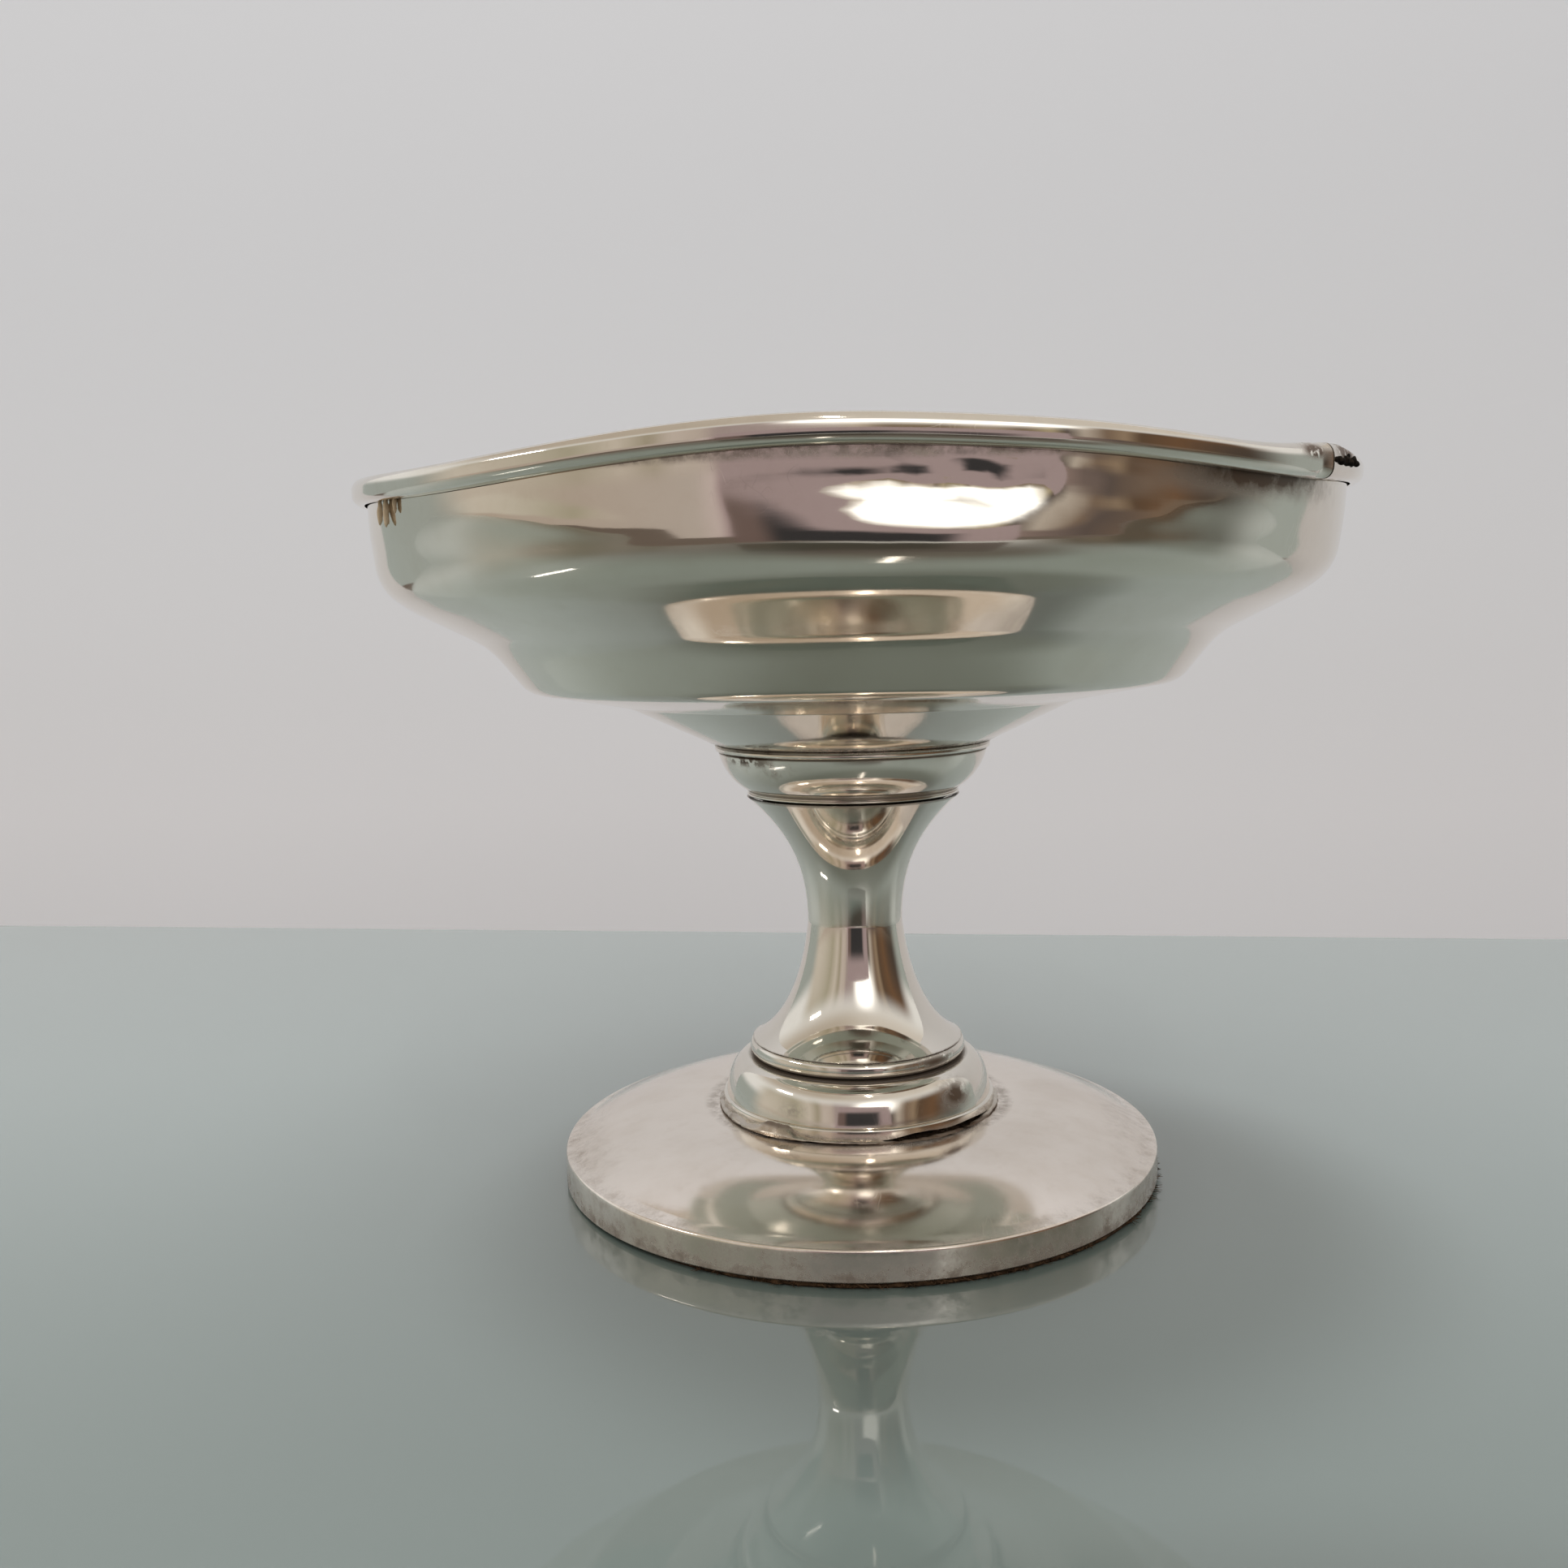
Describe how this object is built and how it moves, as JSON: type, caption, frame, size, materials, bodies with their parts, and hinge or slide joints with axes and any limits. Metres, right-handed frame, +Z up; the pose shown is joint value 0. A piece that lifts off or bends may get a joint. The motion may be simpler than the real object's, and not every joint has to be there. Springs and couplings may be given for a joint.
{
  "type": "compote dish",
  "caption": "Footed silver compote dish: stepped round bowl with a rolled rim moulding on a flared trumpet stem and a domed round weighted foot with a felt base.",
  "frame": {"origin": "middle of the felt's underside, on the dish's axis, at the level of the table it stands on", "axes": "+Z up along the dish's axis of revolution; +X and +Y are free round it"},
  "size_m": [0.15, 0.15, 0.1098],
  "materials": {
    "silver": "worn polished silver with light tarnish",
    "dull_silver": "hand-polished silver gone soft and hazy",
    "solder": "dark tarnished solder",
    "steel": "plain drawn rod",
    "plaster": "set plaster, matte",
    "card": "plain board",
    "felt": "brown felt with a frayed edge"
  },
  "bodies": {
    "root": {"felt_pad": "felt", "closing_card": "card", "foot_filling": "plaster", "foot": "dull_silver", "foot_collar": "silver", "foot_seam_solder": "solder", "stem_foot_solder": "solder", "stem": "silver", "stem_filling": "plaster", "reinforcing_rod": "steel", "stem_bowl_solder": "solder", "bowl_collar": "silver", "bowl_solder": "solder", "bowl": "silver", "rim_moulding": "silver"}
  },
  "joints": []
}
